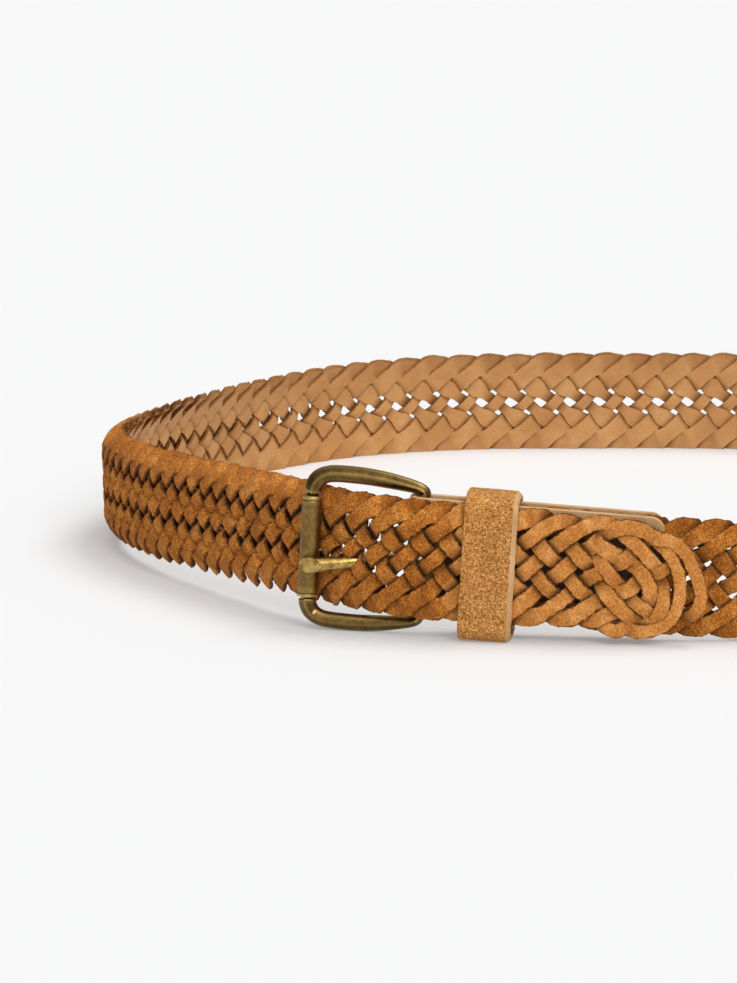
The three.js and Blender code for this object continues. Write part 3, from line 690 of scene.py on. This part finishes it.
def tab():
    stops = np.concatenate([np.linspace(0, TAB_LENGTH - TAB_CORNER, 60, endpoint=False),
                            TAB_LENGTH - TAB_CORNER * (1 - np.sin(np.linspace(0, math.pi / 2, 10)))])
    corner = np.clip((stops - TAB_LENGTH + TAB_CORNER) / TAB_CORNER, 0, 1)
    tall = STRAP_WIDTH / 2 - TAB_CORNER * 0.9 * (1 - np.sqrt(1 - np.minimum(corner, 0.999) ** 2))
    point, along, up, out = strap_line.at(stops)
    leaves = [(point + sign * out * LEAF_OFFSET, up, sign * out, tall) for sign in (-1, 1)]
    angles = np.linspace(-math.pi / 2, math.pi / 2, 24)[1:-1, None]
    away = -np.cos(angles) * start_along + np.sin(angles) * start_out
    fold = (heel + away * LEAF_OFFSET, np.broadcast_to(start_up, away.shape), away,
            np.full(len(away), STRAP_WIDTH / 2))
    centre, up, out, tall = (np.concatenate([a[::-1], b, c]) for a, b, c in zip(leaves[0], fold, leaves[1]))
    section = rounded_section(1, TAB_THICKNESS / 2, LEAF_ROUND)
    section = np.column_stack([np.sign(section[:, 0]), 1 - np.abs(section[:, 0]), section[:, 1]])
    hidden = [(sign, LEAF_HIDDEN, TAB_THICKNESS / 2) for sign in (1, -1)]
    section = np.vstack([section[:5], hidden, section[5:]])
    rise = section[:, 0] * (tall[:, None] - section[:, 1]) + TAB_PROUD
    painted_shade_depth = np.zeros(rise.shape)
    # Painted shade: the middle of the last leaf's outer face, under the strap and seen through its holes, is
    # darkened
    painted_shade_depth[-len(stops):, 5:7] = 1
    rings = centre[:, None] + up[:, None] * rise[..., None] + out[:, None] * section[:, 2][None, :, None]
    verts, quads = skin(rings)
    edge = [int(abs(section[i, 2] + section[(i + 1) % len(section), 2]) < TAB_THICKNESS * 0.9)
            for i in range(len(section))]
    piece = build("tab", verts, quads, [TAB, CUT], np.tile(edge, len(centre) - 1).tolist() + [1, 1],
                  "buckle_tab", painted_shade_depth.ravel())
    eye = FRAME_BAR * FRAME_LINE[-1][2] / 2 + GAP + EYE_WALL
    reach = eye + 2 * GAP
    fall = (PRONG_TIP_DROP - PRONG_EYE_DROP) * 2 * reach / FRAME_SPAN
    middle = heel - start_along * reach / 2 - start_up * PRONG_EYE_DROP
    verts, faces = boxed(middle, (start_along, start_up, start_out),
                         (1.5 * reach, (EYE_HEIGHT + 4 * GAP) / 2 + fall, 2 * LEAF_OFFSET))
    mesh = bpy.data.meshes.new("slot")
    mesh.from_pydata(((np.array(verts) + SHIFT) * MM).tolist(), [], faces)
    slot = bpy.data.objects.new("slot", mesh)
    bpy.context.scene.collection.objects.link(slot)
    cut = piece.modifiers.new("slot", "BOOLEAN")
    cut.operation, cut.object, cut.solver = "DIFFERENCE", slot, "EXACT"
    bpy.context.view_layer.objects.active = piece
    bpy.context.view_layer.update()
    bpy.ops.object.modifier_apply(modifier=cut.name)
    bpy.data.objects.remove(slot)
    bpy.data.meshes.remove(mesh)


tab()


# The buckle: a cast frame with a soft ridge along its arms, a roller and a prong. The
# bar's section: across and through as shares of its half width and thickness.
FRAME_STEP = 0.45
FRAME_SECTION = np.array([
    (-1, 0), (-0.93, 0.36), (-0.7, 0.68), (-0.4, 0.84), (-0.12, 0.95), (0.06, 1.0), (0.24, 0.93),
    (0.55, 0.66), (0.82, 0.4), (0.97, 0.1), (0.97, -0.25), (0.84, -0.6), (0.5, -0.88), (0, -0.98),
    (-0.5, -0.88), (-0.85, -0.55),
])


def on_buckle(along, up, out):
    along, up, out = (np.asarray(a, float)[..., None] for a in (along, up, out))
    return roller_middle + buckle_along * along + buckle_up * up + buckle_out * out


def buckle_frame():
    reach = STRAP_WIDTH / 2 + FRAME_CLEARANCE + FRAME_BAR / 2
    half = [(a * FRAME_SPAN, c * reach, w, t) for a, c, w, t in FRAME_LINE]
    path = half + [(a, -c, w, t) for a, c, w, t in half[::-1]]
    rows = spline([path[-1]] + path + path[:2], FRAME_STEP)
    # One turn: from where the run first passes the path's first row to where it returns
    ends = 60
    begin = int(np.argmin(np.linalg.norm(rows[:ends, :2] - path[0][:2], axis=1)))
    finish = len(rows) - ends + int(np.argmin(np.linalg.norm(rows[-ends:, :2] - path[0][:2], axis=1)))
    rows = rows[begin:finish]
    ahead, behind = np.roll(rows, -1, 0), np.roll(rows, 1, 0)
    run = (ahead - behind)[:, :2]
    run /= np.linalg.norm(run, axis=1)[:, None]
    side = np.stack([-run[:, 1], run[:, 0]], 1)
    half_wide, half_thick = rows[:, 2:3] * FRAME_BAR / 2, rows[:, 3:4] * FRAME_BAR / 2
    across = FRAME_SECTION[:, 0] * half_wide
    rings = on_buckle(rows[:, :1] + side[:, :1] * across, rows[:, 1:2] + side[:, 1:] * across,
                      FRAME_SECTION[:, 1] * half_thick)
    verts, quads = skin(rings[:, ::-1], True)
    piece = build("buckle_frame_cast", verts, quads, [BRASS], np.zeros(len(quads)), "buckle_frame")
    smoother = piece.modifiers.new("smooth", "SUBSURF")
    smoother.levels = smoother.render_levels = 1


def turned_tube(rows, sides):
    """Closed rings of (radius, height) rows round the roller's axis."""
    angles = np.linspace(0, 2 * math.pi, sides, endpoint=False)
    radius, height = np.array(rows, float).T
    return on_buckle(radius[:, None] * np.cos(angles), np.repeat(height[:, None], sides, 1),
                     radius[:, None] * np.sin(angles))


# The roller reaches nearer to the shoulders than the solid's, and rests a little lower
ROLLER_NEARER, ROLLER_LOWER = 0.25, 0.2


def roller():
    """A tube with a shallow groove near each end."""
    radius, bore, half = ROLLER_DIAMETER / 2, ROLLER_BORE / 2, ROLLER_LENGTH / 2 + ROLLER_NEARER
    end = [(bore, 0), (radius - 0.5, 0), (radius - 0.2, 0.08), (radius, 0.3), (radius, 1.0),
           (radius - 0.09, 1.12), (radius - 0.09, 1.3), (radius, 1.42)]
    side = [(radius, height) for height in np.linspace(2, 2 * half - 2, 24)]
    rows = end + side + [(r, 2 * half - z) for r, z in end[::-1]]
    rings = turned_tube([(r, z - half - ROLLER_LOWER) for r, z in rows], 48)
    verts, quads = skin(rings[::-1], True)
    build("roller", verts, quads, [ROLLER], np.zeros(len(quads)), "buckle_roller")


# How far the shank sags inward, over which share of its length, and how it flares
PRONG_SAG, PRONG_SAG_OVER, PRONG_SLIM, PRONG_FLARE = 1.3, 0.65, 0.95, 0.33


def prong():
    """An eye round the heel bar and a bent shank, its end cut at a slant."""
    inner = FRAME_BAR * FRAME_LINE[-1][2] / 2 + GAP
    origin = heel - buckle_up * PRONG_EYE_DROP
    rise = ROLLER_DIAMETER / 2 + GAP + PRONG_DIAMETER / 2
    along = -buckle_along * FRAME_SPAN + buckle_out * rise - buckle_up * (PRONG_TIP_DROP - PRONG_EYE_DROP)
    along /= np.linalg.norm(along)
    up = buckle_up - along * (buckle_up @ along)
    up /= np.linalg.norm(up)
    out = np.cross(up, along)
    share = np.linspace(0, 1, 40)[:, None]
    reach = inner + EYE_WALL / 2 + share * (FRAME_SPAN + PRONG_OVERRUN - inner - EYE_WALL / 2)
    sag = -PRONG_SAG * np.sin(math.pi * np.clip(share / PRONG_SAG_OVER, 0, 1)) ** 2
    angles = np.linspace(0, 2 * math.pi, 32, endpoint=False)[None]
    tall = PRONG_DIAMETER / 2 * (PRONG_SLIM + PRONG_FLARE * share**3)
    deep = PRONG_DIAMETER / 2 * (PRONG_SLIM + 0.1 * share**2)
    cut = PRONG_SLANT * np.clip((share - 0.8) / 0.2, 0, 1)
    rises, deeps = tall * np.sin(angles), deep * np.cos(angles)
    back = cut * (np.cos(angles) + 1) / 2
    rings = (origin + along * (reach - back)[..., None] + up * rises[..., None]
             + out * (deeps + sag)[..., None])
    face = rings[-1:]
    centre = face.mean(1, keepdims=True)
    rings = np.concatenate([rings, centre + (face - centre) * 0.93, centre + (face - centre) * 0.84])
    verts, quads = skin(rings[::-1])
    build("prong", verts, quads, [BRIGHT], np.zeros(len(quads)), "buckle_prong")
    rows = [(inner, -1), (inner + EYE_WALL * 0.7, -1), (inner + EYE_WALL, -0.75), (inner + EYE_WALL, 0.75),
            (inner + EYE_WALL * 0.7, 1), (inner, 1)]
    rings = turned_tube([(r, z * EYE_HEIGHT / 2 - PRONG_EYE_DROP) for r, z in rows], 40)
    verts, quads = skin(rings[::-1] + (heel - roller_middle), True)
    build("prong_eye", verts, quads, [BRIGHT], np.zeros(len(quads)), None)


buckle_frame()
roller()
prong()


# Floor, light and camera

def sun(name, energy, spread, toward, color):
    """A far, soft light that shines from a direction."""
    data = bpy.data.lights.new(name, "SUN")
    data.energy = energy
    data.angle = math.radians(spread)
    data.color = color
    lamp = bpy.data.objects.new(name, data)
    bpy.context.scene.collection.objects.link(lamp)
    lamp.rotation_euler = Vector(toward).to_track_quat("Z", "Y").to_euler()


floor_mesh = bpy.data.meshes.new("floor")
floor_mesh.from_pydata([(-6, -4, 0), (6, -4, 0), (6, 9, 0), (-6, 9, 0)], [], [(0, 1, 2, 3)])
floor = bpy.data.objects.new("floor", floor_mesh)
bpy.context.scene.collection.objects.link(floor)
floor_material, _, floor_shader = material("floor")
# The floor glows a little: painted light, which lightens the shadows cast on it
FLOOR_TONE, FLOOR_GLOW = 0.65, 0.2
floor_shader.inputs["Base Color"].default_value = (FLOOR_TONE, FLOOR_TONE, FLOOR_TONE, 1)
floor_shader.inputs["Emission Color"].default_value = (1, 1, 1, 1)
floor_shader.inputs["Emission Strength"].default_value = FLOOR_GLOW
floor_shader.inputs["Roughness"].default_value = 1.0
floor_shader.inputs["Specular IOR Level"].default_value = 0.0
floor_mesh.materials.append(floor_material)

# A studio: bright overhead, a soft box above the camera and dimmer walls
world = bpy.data.worlds.new("studio")
world.use_nodes = True
world_tree = world.node_tree
direction = world_tree.nodes.new("ShaderNodeTexCoord")
split = world_tree.nodes.new("ShaderNodeSeparateXYZ")
world_tree.links.new(direction.outputs["Generated"], split.inputs[0])
overhead = ramp(world_tree, split.outputs["Z"], [
    (0.0, (0.25, 0.251, 0.252)), (0.45, (0.3, 0.301, 0.303)), (0.8, (0.86, 0.865, 0.87)),
    (1.0, (0.99, 0.995, 1)),
])
BOX_HIGH, STUDIO_STRENGTH = math.radians(36), 0.72
toward_box = arithmetic(world_tree, "MULTIPLY_ADD", split.outputs["Y"], -math.cos(BOX_HIGH),
                        arithmetic(world_tree, "MULTIPLY", split.outputs["Z"], math.sin(BOX_HIGH)))
front = ramp(world_tree, toward_box, [(0.84, (0, 0, 0)), (0.93, (1, 1, 1))])
softbox = mixed(world_tree, "MULTIPLY", 1.0, front, (2.4, 2.41, 2.43))
studio = mixed(world_tree, "ADD", 1.0, overhead, softbox)
background = world_tree.nodes["Background"]
world_tree.links.new(studio, background.inputs[0])
background.inputs[1].default_value = STUDIO_STRENGTH
bpy.context.scene.world = world

sun("key", 1.2, 30, (0.42, 0.1, 1.0), (1, 1, 1))
sun("fill", 0.5, 24, (0.5, -1.0, 0.85), (1, 1, 1))

# The camera's place on the part's line, how far it looks down, and its lens
CAMERA_PLACE, CAMERA_DOWN, CAMERA_LENS = np.array([-85.0, -1328.0, 284.1]), 11.57, 157.47
lens = bpy.data.cameras.new("camera")
lens.lens = CAMERA_LENS
lens.sensor_width = 36
lens.clip_start, lens.clip_end = 0.05, 30
camera = bpy.data.objects.new("camera", lens)
bpy.context.scene.collection.objects.link(camera)
camera.location = ((CAMERA_PLACE + SHIFT) * MM).tolist()
camera.rotation_euler = (math.radians(90 - CAMERA_DOWN), 0, 0)
bpy.context.scene.camera = camera
bpy.context.scene.view_settings.view_transform = "Standard"
